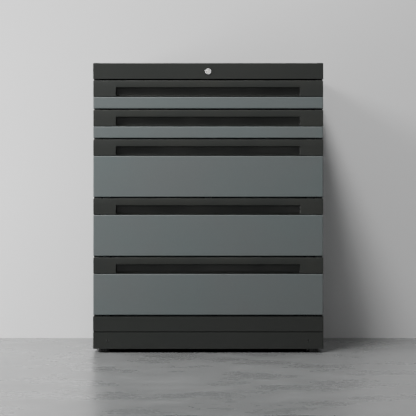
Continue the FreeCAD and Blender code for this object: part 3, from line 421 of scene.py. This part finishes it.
def gripRail(low, high):
    edge = high.x
    mouth = edge - rail["block"]
    depth = high.y - low.y
    deepest = depth - rail["back"]
    brow = high.z - rail["brow"]
    sill = low.z + rail["floor"]

    # Stations of the recess's left end: distance past the mouth, depth and rise of the hook.
    turn = quarterTurn(rail["turnPoints"])
    mouthX, mouthDeep = rail["mouthRound"] * np.sin(turn), rail["mouthRound"] * (1 - np.cos(turn))
    wallX = rail["mouthRound"] + rail["draft"] * np.array(rail["wallRun"])
    wallDeep = np.array(rail["wallDeep"]) * (deepest - rail["footRound"])
    footX = wallX[-1] + rail["footRound"] * (1 - np.cos(turn[1:]))
    footDeep = deepest - rail["footRound"] * (1 - np.sin(turn[1:]))
    endX = np.concatenate([mouthX, wallX, footX]) - mouth - rail["mouthRound"]
    endDeep = np.concatenate([mouthDeep, wallDeep, footDeep]) / deepest
    endRise = np.clip((np.arange(len(endX)) - len(mouthX)) / len(wallX), 0, 1)

    # Hollows as (start, stop, lower edge), left to right.
    lowEdge, highEdge = low.z + rail["wall"], brow + rail["hook"] + rail["wall"]
    inner, outer = mouth + rail["wall"], edge - rail["wall"]
    half = (outer - inner - rail["rib"]) / 2
    step = (2 * mouth + rail["rib"]) / rail["hollows"]
    blocks = [(inner, inner + half), (outer - half, outer)]
    hollows = [(-stop, -start, lowEdge) for start, stop in blocks[::-1]]
    hollows += [(count * step - mouth, (count + 1) * step - rail["rib"] - mouth, highEdge)
                for count in range(rail["hollows"])]
    hollows += [(start, stop, lowEdge) for start, stop in blocks]
    hollowX, hollowOpen, hollowLow = [-edge], [0.0], [lowEdge]
    for start, stop, lowest in hollows:
        hollowX += [start, start + rail["draft"], stop - rail["draft"], stop]
        hollowOpen += [0.0, 1.0, 1.0, 0.0]
        hollowLow += [lowest] * 4

    # The rail's ends are rounded over as its front edges are.
    roundX = edge - rail["edge"] * (1 - np.sin(turn))
    roundIn = rail["edge"] * (1 - np.cos(turn))
    stations = np.concatenate([endX, -endX, hollowX, roundX, -roundX])
    stations = np.unique(np.round(stations, rail["stationDigits"]))
    sunk = np.interp(-abs(stations), endX, endDeep)
    raised = np.interp(-abs(stations), endX, endRise)
    opened = np.interp(stations, hollowX, hollowOpen)
    lowest = np.interp(stations, hollowX, hollowLow)
    inset = np.interp(abs(stations), roundX, roundIn)

    # Corners of every station's section as (back from the front, up, radius).
    front, flat = low.y + inset, np.zeros(len(stations))
    crisp = rail["crisp"]
    cored = high.y - rail["shut"] - opened * (depth - rail["wall"] - rail["shut"])
    section = [(high.y, high.z, crisp), (front, high.z - inset, rail["edge"]),
               (low.y, brow, rail["soft"]), (low.y + rail["lip"], brow, rail["soft"]),
               (low.y + rail["lip"], brow + rail["hook"], rail["soft"]),
               (low.y + deepest, brow + rail["hook"], rail["hookRound"]),
               (low.y + deepest, sill, rail["scoop"]), (low.y, sill, crisp),
               (front, low.z + rail["underShare"] * inset, rail["underRound"]), (high.y, low.z, crisp),
               (high.y, lowest, crisp), (cored, lowest, crisp),
               (cored, high.z - rail["wall"], crisp), (high.y, high.z - rail["wall"], crisp)]
    corners = np.stack([np.stack([value + flat for value in corner], -1) for corner in section], 1)
    outline = roundedOutline(corners, rail["arcPoints"])

    # Toward the ends the recess's part of the outline, from the brow's edge to the sill's, comes
    # forward to the flat front.
    browCorner, sillCorner = 2, 7
    recess = slice(browCorner * rail["arcPoints"], (sillCorner + 1) * rail["arcPoints"])
    across, up = outline[:, recess, 0], outline[:, recess, 1]
    level = np.linspace(brow, sill, across.shape[1])
    outline[:, recess, 0] = front[:, None] + sunk[:, None] * (across - low.y)
    outline[:, recess, 1] = level + raised[:, None] * (up - level)
    return carried(0, outline, stations)


for drawer in drawers:
    node = f"drawer_{drawer}_grip"
    replaceNode(node, [gripRail(*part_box(node))], rail["crease"])
print("grip rails made:", len(drawers))

# Folded steel tray: its sheet turns up round the floor, and its rim is rolled inward. The catch
# on its back is a strip bent three times.
tray = {"sheet": 0.001, "bend": 0.0018, "corner": 0.003, "hemWidth": 0.0026, "hemDrop": 0.006,
        "hemTip": 0.0003, "leastRound": 0.0003, "bendPoints": 4, "hemPoints": 9, "cornerPoints": 5}
trayCatch = {"sheet": 0.0015, "width": 0.03, "drop": 0.020, "lip": 0.013, "leg": 0.008, "fold": 0.0012,
             "innerFold": 0.0004, "upperFold": 0.0008, "tip": 0.0002, "lipTip": 0.0003, "foldPoints": 4}


# Rounded rectangles at insets from a plan's sides, at as many heights. The corners' radius shrinks
# by the inset.
def boxRings(low, high, insets, heights):
    radius = np.maximum(tray["corner"] - insets, tray["leastRound"])
    left, right = low.x + insets, high.x - insets
    front, back = low.y + insets, high.y - insets
    corners = np.stack([np.stack(spot, -1) for spot in (
        (left, front, radius), (right, front, radius), (right, back, radius), (left, back, radius))], 1)
    return carried(2, roundedOutline(corners, tray["cornerPoints"]), heights)


# The tray's wall as (inset, height): a quarter turn up from the floor, half a turn over the rim,
# the hem down to its tip, the inside down, and a quarter turn in to the floor.
def trayShell(low, high):
    turn, around = quarterTurn(tray["bendPoints"]), np.linspace(0, math.pi, tray["hemPoints"])
    hem, sheet, bend, tip = tray["hemWidth"] / 2, tray["sheet"], tray["bend"], tray["hemTip"]
    inner = bend - sheet
    insets = np.concatenate([bend * (1 - np.sin(turn)), hem * (1 - np.cos(around)),
                             [2 * hem, 2 * hem - tip, sheet, sheet], sheet + inner * (1 - np.cos(turn))])
    heights = np.concatenate([low.z + bend * (1 - np.cos(turn)), high.z - hem + hem * np.sin(around),
                              high.z - tray["hemDrop"] + np.array([tip, 0.0, 0.0, -tip]),
                              low.z + sheet + inner * (1 - np.sin(turn))])
    return boxRings(low, high, insets, heights)


# The catch's section, (back, up), carried across the tray's middle: a leg down the tray's back, a
# shelf out from it and a lip up at its end.
def catchStrip(face, back, rim):
    sheet, tip, lipTip = (trayCatch[name] for name in ("sheet", "tip", "lipTip"))
    shelf = rim - trayCatch["drop"]
    legEnd, lipEnd = shelf - trayCatch["leg"], shelf + trayCatch["lip"]
    outline = roundedOutline([
        (face, legEnd, tip), (face + sheet, legEnd, tip), (face + sheet, shelf, trayCatch["innerFold"]),
        (back, shelf, trayCatch["fold"]), (back, lipEnd, lipTip), (back - sheet, lipEnd, lipTip),
        (back - sheet, shelf + sheet, lipTip), (face, shelf + sheet, trayCatch["upperFold"])],
        trayCatch["foldPoints"])
    return carried(0, outline, [-trayCatch["width"] / 2, trayCatch["width"] / 2])


# Sheets between the rows, with bent end flanges and a top edge rolled to a bead.
divider = {"sheet": 0.0008, "fold": 0.0009, "flange": 0.012, "tip": 0.0002, "bead": 0.0026, "beadSides": 16,
           "foldPoints": 4, "rows": {1: 6, 2: 6}, "wideRows": 3, "fit": 0.0002}


# For each border between even rows: a bracket-shaped plan carried up, and a round bead carried
# along its top.
def dividerSheets(low, high, rows, trayHalf):
    sheet, bead, fold, tip = (divider[name] for name in ("sheet", "bead", "fold", "tip"))
    grids = []
    for row in range(1, rows):
        left = trayHalf * (2 * row - rows) / rows - sheet / 2
        end = left + divider["flange"]
        plan = roundedOutline([
            (left, low.y, fold), (end, low.y, tip), (end, low.y + sheet, tip),
            (left + sheet, low.y + sheet, tip), (left + sheet, high.y - sheet, tip),
            (end, high.y - sheet, tip), (end, high.y, tip), (left, high.y, fold)], divider["foldPoints"])
        grids.append(carried(2, plan, [low.z, high.z - bead / 2]))
        ring = aroundAxis((left + sheet / 2, high.z - bead / 2), bead / 2, anglesOf(divider["beadSides"]))
        grids.append(carried(1, ring, [low.y + sheet, high.y - sheet]))
    return grids


for drawer in drawers:
    node, dividersNode = f"drawer_{drawer}_tray", f"drawer_{drawer}_dividers"
    low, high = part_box(node)
    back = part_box(dividersNode)[1].y + divider["fit"] + tray["sheet"]
    replaceNode(node, [trayShell(low, Vector((high.x, back, high.z))), catchStrip(back, high.y, high.z)])
    rows = divider["rows"].get(drawer, divider["wideRows"])
    replaceNode(dividersNode, dividerSheets(*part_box(dividersNode), rows, high.x - tray["sheet"]))
print("trays and dividers made:", len(drawers))

# Telescopic runners: three members of rolled strip, one inside the next, with round bends.
runner = {"sheet": 0.0012, "gap": 0.0003, "lip": 0.0025, "bend": 0.0018, "innerBend": 0.0006, "tip": 0.0004,
          "bendPoints": 4}


# A lipped channel's section as (in from its web, up from its middle, radius): its upper half, and
# the same turned over.
def channelSection(reach, half):
    sheet, bend, small, tip = (runner[name] for name in ("sheet", "bend", "innerBend", "tip"))
    inside, lipEnd = half - sheet, half - sheet - runner["lip"]
    upper = [(sheet, inside, small), (reach - sheet, inside, small), (reach - sheet, lipEnd, tip),
             (reach, lipEnd, tip), (reach, half, bend), (0, half, bend)]
    return [(across, -up, radius) for across, up, radius in upper[::-1]] + upper


# The inner member's section: a shallow channel with its feet turned outward.
def footedSection(reach, half, leg):
    sheet, bend, small, tip = (runner[name] for name in ("sheet", "bend", "innerBend", "tip"))
    upper = [(reach, leg, bend), (sheet, leg, small), (sheet, half, tip), (0, half, tip),
             (0, leg - sheet, bend), (reach - sheet, leg - sheet, small)]
    return [(across, -up, radius) for across, up, radius in upper[::-1]] + upper


# A section carried front to back along the right side, and its mirror image on the left.
def pairAlong(low, high, section):
    middle = (low.z + high.z) / 2
    corners = [(high.x - across, middle + up, radius) for across, up, radius in section]
    grid = carried(1, roundedOutline(corners, runner["bendPoints"]), [low.y, high.y])
    return [grid, mirrored(grid)]


for drawer in drawers:
    outer, middle, inner = (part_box(f"runner_{member}_{drawer}") for member in ("outer", "middle", "inner"))
    reach = outer[1].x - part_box(f"drawer_{drawer}_tray")[1].x
    wall = runner["sheet"] + runner["gap"]
    for member, (low, high), walls in (("outer", outer, 1), ("middle", middle, 3)):
        section = channelSection(reach - walls * wall, (high.z - low.z) / 2)
        replaceNode(f"runner_{member}_{drawer}", pairAlong(low, high, section))
    low, high = inner
    half = (high.z - low.z) / 2
    leg = half - runner["lip"] - runner["gap"]
    section = footedSection(reach - (outer[1].x - high.x), half, leg)
    replaceNode(f"runner_inner_{drawer}", pairAlong(low, high, section))
print("runners made:", 3 * len(drawers))

# Lock: a ring with a rolled edge on a barrel, and the plug turning in it with its upright keyway.
lock = {"bore": 0.0058, "barrel": 0.007, "innerRound": 0.0004, "edgeRound": 0.0011, "seatRound": 0.0002,
        "neckRound": 0.0001, "barrelRound": 0.0005, "boreRound": 0.0002,        # ring, front to back
        "plugRound": 0.0004, "plugBevel": 0.0003, "socket": 0.0061, "socketDepth": 0.005,
        "keyWidth": 0.0022, "keyHeight": 0.008, "keyDepth": 0.007, "keyBevel": 0.0002,
        "keyTaper": 0.0009, "keyRound": 0.3,        # narrowing a side, and round over half width
        "sides": 64, "roundPoints": 7, "turnPoints": 5}


# The middle of a box's side that faces the front, as (across, up), and half its width.
def frontCircle(low, high):
    return np.array([(low.x + high.x) / 2, (low.z + high.z) / 2]), (high.x - low.x) / 2


# A section of (radius, back) turned round the lock's axis: the bore, the ring's rounded front, its
# seat on the cover and the barrel.
def lockRing(low, high):
    centre, ring = frontCircle(low, high)
    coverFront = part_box("top_cover")[0].y
    profile = roundedOutline([
        (lock["bore"], low.y, lock["innerRound"]), (ring, low.y, lock["edgeRound"]),
        (ring, coverFront, lock["seatRound"]), (lock["barrel"], coverFront, lock["neckRound"]),
        (lock["barrel"], high.y, lock["barrelRound"]), (lock["bore"], high.y, lock["boreRound"])],
        lock["roundPoints"])
    profile = np.concatenate([profile, profile[:1]])
    return carried(1, aroundAxis(centre, profile[:, :1], anglesOf(lock["sides"])), profile[:, 1])


# Outlines from the keyway's bottom out to the face, round its edge, back along the plug and into
# the square socket for the shaft. The keyway's corners lie a quarter of the points apart, as the
# round face's quadrants do. It narrows almost to an edge, so no broad floor shines out of it.
def lockPlug(low, high):
    centre, outside = frontCircle(low, high)
    sides, bevel = lock["sides"], lock["plugBevel"]
    angles = anglesOf(sides) + math.pi / sides
    turn = quarterTurn(lock["turnPoints"])
    outlines = []
    for grown in (-lock["keyTaper"], 0, lock["keyBevel"]):
        across, up = lock["keyWidth"] / 2 + grown, lock["keyHeight"] / 2 + grown
        radius = across * lock["keyRound"]
        spots = [(across, up, radius), (-across, up, radius), (-across, -up, radius), (across, -up, radius)]
        outlines.append(centre + roundedOutline(spots, sides // 4))
    insets = np.concatenate([lock["plugRound"] * (1 - np.sin(turn)), [0, bevel]])
    outlines += [aroundAxis(centre, outside - inset, angles) for inset in insets]
    outlines += 2 * [aroundAxis(centre, evenSided(4, lock["socket"], angles + math.pi / sides), angles)]
    stations = np.concatenate([low.y + np.array([lock["keyDepth"], lock["keyBevel"], 0]),
                               low.y + lock["plugRound"] * (1 - np.cos(turn)),
                               high.y - np.array([bevel, 0, 0, lock["socketDepth"]])])
    return carried(1, np.array(outlines), stations)


replaceNode("lock_housing", [lockRing(*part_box("lock_housing"))])
replaceNode("lock_plug", [lockPlug(*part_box("lock_plug"))])
print("lock made")

# Levelling feet: a ribbed nylon pad moulded on a threaded stud.
foot = {"rib": 0.0011, "ribs": 12, "lowRound": 0.0008, "topRound": 0.0016, "padTop": 0.0097,
        "collar": 0.001, "sides": 96, "turnPoints": 5,      # pad
        "stud": 0.004, "thread": 0.0006, "pitch": 0.00125, "flank": 1.5, "lead": 0.0012,
        "sunk": 0.001, "studSides": 24, "turnSteps": 8, "crease": 40}       # stud


# Circles at insets and heights that go round the pad's lower and upper edges by quarter turns and
# in to the stud. The ribs are a squared wave round them that dies out at those edges.
def footPad(centre, outside, bottom):
    angles, turn = anglesOf(foot["sides"]), quarterTurn(foot["turnPoints"])
    insets = np.concatenate([foot["lowRound"] * (1 - np.sin(turn)), foot["topRound"] * (1 - np.cos(turn)),
                             [outside - foot["stud"] - foot["collar"]]])[:, None]
    heights = np.concatenate([foot["lowRound"] * (1 - np.cos(turn)),
                              foot["padTop"] - foot["topRound"] * (1 - np.sin(turn)), [foot["padTop"]]])
    fade = np.clip(1 - insets / foot["topRound"], 0, 1)
    groove = foot["rib"] * (0.5 - 0.5 * np.cos(foot["ribs"] * angles)) ** 2 * fade
    return carried(2, aroundAxis(centre, outside - insets - groove, angles), bottom + heights)


# A thread as a function of angle and height: the radius follows a clipped wave that climbs one
# pitch in one turn, and sinks to the root at the stud's tip.
def threadedStud(centre, bottom, top):
    angles, pitch = anglesOf(foot["studSides"]), foot["pitch"]
    stations = np.linspace(bottom, top, int((top - bottom) / pitch * foot["turnSteps"]) + 1)
    wave = foot["flank"] * np.cos(2 * math.pi * stations[:, None] / pitch - angles)
    tip = np.clip((top - stations[:, None]) / foot["lead"], 0, 1)
    radii = foot["stud"] - foot["thread"] * (1 - (0.5 + 0.5 * np.clip(wave, -1, 1)) * tip)
    return carried(2, aroundAxis(centre, radii, angles), stations)


for node in sorted(name for name in nodes if name.startswith("foot_") and name != "foot_nuts"):
    low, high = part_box(node)
    centre = ((low.x + high.x) / 2, (low.y + high.y) / 2)
    replaceNode(node, [footPad(centre, (high.x - low.x) / 2, low.z)])
    stud = threadedStud(centre, low.z + foot["padTop"] - foot["sunk"], high.z)
    makePiece(node + "_stud", [stud], zincSteel, bodyOf[node], crease=foot["crease"])
print("feet made")

# Plinth screws: a low button head with a hexagon socket, on a short shank.
plinthScrew = {"inset": 0.039, "head": 0.0025, "headHeight": 0.00105, "dome": 0.0007, "socket": 0.0024,
               "socketDepth": 0.0016, "shank": 0.00145, "length": 0.006, "sides": 24,
               "domeTurns": (0.2, 0.4, 0.6, 0.8, 1.0)}


# Rings at depths behind the face: the socket from its bottom out, the dome by shares of a quarter
# turn, the head's edge and the shank. The way is 1 for a screw that goes back and -1 for the other.
def buttonScrew(centre, face, way):
    angles = anglesOf(plinthScrew["sides"])
    turn = np.array(plinthScrew["domeTurns"]) * math.pi / 2
    head, dome, shank = (plinthScrew[name] for name in ("head", "dome", "shank"))
    socket = evenSided(6, plinthScrew["socket"], angles)
    rounds = np.concatenate([head - dome * (1 - np.sin(turn)), [head, shank, shank]])
    radii = np.concatenate([[socket, socket], np.repeat(rounds[:, None], len(angles), 1)])
    depths = np.concatenate([[plinthScrew["socketDepth"], 0], dome * (1 - np.cos(turn)),
                             [plinthScrew["headHeight"], plinthScrew["headHeight"], plinthScrew["length"]]])
    return carried(1, aroundAxis(centre, radii, angles), face + way * depths)


low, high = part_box("plinth_screws")
screwX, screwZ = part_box("plinth_frame")[1].x - plinthScrew["inset"], (low.z + high.z) / 2
replaceNode("plinth_screws", [buttonScrew((side * screwX, screwZ), face, way)
                              for side in (-1, 1) for face, way in ((low.y, 1), (high.y, -1))])

# Back screws: hexagon heads with a bevelled crown. The corner is the radius that the bevel cuts
# the hexagon's corners to, and the crown is the flat top's radius.
backScrew = {"flats": 0.007, "crown": 0.0029, "bevel": 0.0004, "corner": 0.0039, "count": 4, "sides": 24}


# Three rings: the hexagon, the hexagon cut by a circle, and the crown's circle.
def hexScrew(centre, base, tip):
    angles = anglesOf(backScrew["sides"])
    flats = evenSided(6, backScrew["flats"], angles)
    crown = np.full(len(angles), backScrew["crown"])
    rings = aroundAxis(centre, np.array([flats, np.minimum(flats, backScrew["corner"]), crown]), angles)
    return carried(1, rings, [base, tip - backScrew["bevel"], tip])


low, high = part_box("back_screws")
reach = backScrew["flats"] / 2
columnX = high.x - reach / math.cos(math.pi / 6)
rowsZ = np.linspace(low.z + reach, high.z - reach, backScrew["count"])
replaceNode("back_screws", [hexScrew((side * columnX, up), low.y, high.y)
                            for side in (-1, 1) for up in rowsZ])
print("screws made")

# Stage: a pale floor and a pale backdrop that meet behind the cabinet. Both are seen from one
# side only, so that the cabinet's back and underside can be looked at past them, and the backdrop
# has a window, hidden behind the cabinet, that lets the room's light in on its back. The frame is
# what is left between the window and the cabinet's outline.
stage = {"reach": 6.0, "front": -7.0, "wall": 0.311, "height": 4.0, "frame": 0.08}


# Lets a stage material be seen from its front only.
def seenFromFront(tree, shader):
    behind = addNode(tree, "ShaderNodeNewGeometry").outputs["Backfacing"]
    clear = addNode(tree, "ShaderNodeBsdfTransparent").outputs["BSDF"]
    seen = addNode(tree, "ShaderNodeMixShader", links={"Fac": behind, 1: shader.outputs["BSDF"], 2: clear})
    output = next(node for node in tree.nodes if node.type == "OUTPUT_MATERIAL")
    tree.links.new(seen.outputs["Shader"], output.inputs["Surface"])


# Trowelled floor, sealed: faint clouds in its grey and its sheen.
trowelled = {"cloudWidth": 0.2, "sheen": 0.24, "dullSheen": 0.34}


def sealedFloor(name, dark, pale):
    material, tree, shader, place = startMaterial(name, {"IOR": 1.45})
    clouds = addNode(tree, "ShaderNodeTexNoise", values={
        "Scale": 1 / trowelled["cloudWidth"], "Detail": 7.0, "Roughness": 0.62}, links={"Vector": place})
    cloud = addNode(tree, "ShaderNodeMapRange", values={"From Min": 0.35, "From Max": 0.65},
                    links={"Value": clouds.outputs["Fac"]}).outputs["Result"]
    tone = addNode(tree, "ShaderNodeMix", {"data_type": "RGBA"},
                   {mixFirst: linearColour(dark), mixSecond: linearColour(pale)}, {mixShare: cloud})
    tree.links.new(tone.outputs[mixResult], shader.inputs["Base Color"])
    sheen = addNode(tree, "ShaderNodeMapRange", values={
        "To Min": trowelled["sheen"], "To Max": trowelled["dullSheen"]}, links={"Value": cloud})
    tree.links.new(sheen.outputs["Result"], shader.inputs["Roughness"])
    seenFromFront(tree, shader)
    return material


# Matt paper: wide soft clouds of fibre, hardly lighter than the rest.
fibreWidth = 0.333


def backdropPaper(name, dark, pale):
    material, tree, shader, place = startMaterial(name, {"Roughness": 0.9, "IOR": 1.4})
    fibre = addNode(tree, "ShaderNodeTexNoise", values={"Scale": 1 / fibreWidth, "Detail": 2.0},
                    links={"Vector": place})
    tone = addNode(tree, "ShaderNodeMix", {"data_type": "RGBA"},
                   {mixFirst: linearColour(dark), mixSecond: linearColour(pale)},
                   {mixShare: fibre.outputs["Fac"]})
    tree.links.new(tone.outputs[mixResult], shader.inputs["Base Color"])
    seenFromFront(tree, shader)
    return material


def stageSheet(name, corners, faces, material):
    mesh = bpy.data.meshes.new(name)
    mesh.from_pydata(corners, [], faces)
    mesh.materials.append(material)
    sheet = bpy.data.objects.new(name, mesh)
    bpy.context.scene.collection.objects.link(sheet)


edge, front, wall, top = (stage[name] for name in ("reach", "front", "wall", "height"))
stageSheet("floor", [(-edge, front, 0), (edge, front, 0), (edge, edge, 0), (-edge, edge, 0)],
           [(0, 1, 2, 3)], sealedFloor("pale sealed floor", "#7b7c7c", "#888989"))

# The backdrop is four quads between its outline and the window's, whose points come after it.
side, sill, head = cadHigh.x - stage["frame"], stage["frame"], cadHigh.z - stage["frame"]
outline = [(-edge, wall, 0), (edge, wall, 0), (edge, wall, top), (-edge, wall, top)]
window = [(-side, wall, sill), (side, wall, sill), (side, wall, head), (-side, wall, head)]
stageSheet("backdrop", outline + window, [(0, 1, 5, 4), (1, 2, 6, 5), (2, 3, 7, 6), (3, 0, 4, 7)],
           backdropPaper("pale backdrop", "#efefef", "#f2f2f2"))

# Camera: square to the front, with a long lens, level with the cabinet's middle. The distance is
# in metres and the sensor in millimetres.
view = {"framePixels": 416, "centreX": 208.15, "cabinetPixels": 230.55, "horizonRow": 208.0,
        "floorRow": 352.7, "distance": 5.3, "sensor": 36.0}
metresPerPixel = (cadHigh.x - cadLow.x) / view["cabinetPixels"]
cameraData = bpy.data.cameras.new("camera")
cameraData.sensor_width = view["sensor"]
cameraData.lens = view["sensor"] * view["distance"] / (view["framePixels"] * metresPerPixel)
camera = bpy.data.objects.new("camera", cameraData)
bpy.context.scene.collection.objects.link(camera)
camera.location = ((view["framePixels"] / 2 - view["centreX"]) * metresPerPixel,
                   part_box("top_cover")[0].y - view["distance"],
                   (view["floorRow"] - view["horizonRow"]) * metresPerPixel)
camera.rotation_euler = (math.radians(90), 0, 0)
bpy.context.scene.camera = camera

# Light: a soft box above the front, weaker ones to the left for the fronts and the backdrop, a
# fill behind the camera that the lock mirrors, one past the backdrop that lights only the
# cabinet's back, and the pale room.
softBoxes = {
    "front light": {"place": (-0.4, -1.8, 3.0), "target": (0, 0, 0.4), "size": (0.6, 0.8), "watts": 72},
    "left light": {"place": (-1.2, -1.2, 1.5), "target": (0, 0, 0.7), "size": (0.5, 0.5), "watts": 16},
    "wall light": {"place": (-1.3, -0.5, 0.45), "target": (-0.6, 0.3, 0.2), "size": (0.4, 0.4),
                   "watts": 11},
    "fill light": {"place": (0, -6.3, 1.1), "target": (0, 0, 0.7), "size": (1.4, 1.0), "watts": 13},
    "back light": {"place": (0.9, 2.4, 1.8), "target": (0, 0.3, 0.4), "size": (1.2, 1.2), "watts": 30}}
room = {"colour": "#c8c9ca", "strength": 0.3}

for name, box in softBoxes.items():
    data = bpy.data.lights.new(name, "AREA")
    data.shape = "RECTANGLE"
    data.size, data.size_y = box["size"]
    data.energy = box["watts"]
    lamp = bpy.data.objects.new(name, data)
    bpy.context.scene.collection.objects.link(lamp)
    lamp.location = box["place"]
    lamp.rotation_euler = (Vector(box["target"]) - lamp.location).to_track_quat("-Z", "Y").to_euler()
    lamp.visible_camera = False
world = bpy.data.worlds.new("pale room")
bpy.context.scene.world = world
world.use_nodes = True
background = world.node_tree.nodes["Background"]
background.inputs["Color"].default_value = linearColour(room["colour"])
background.inputs["Strength"].default_value = room["strength"]
print("stage, camera and light made")
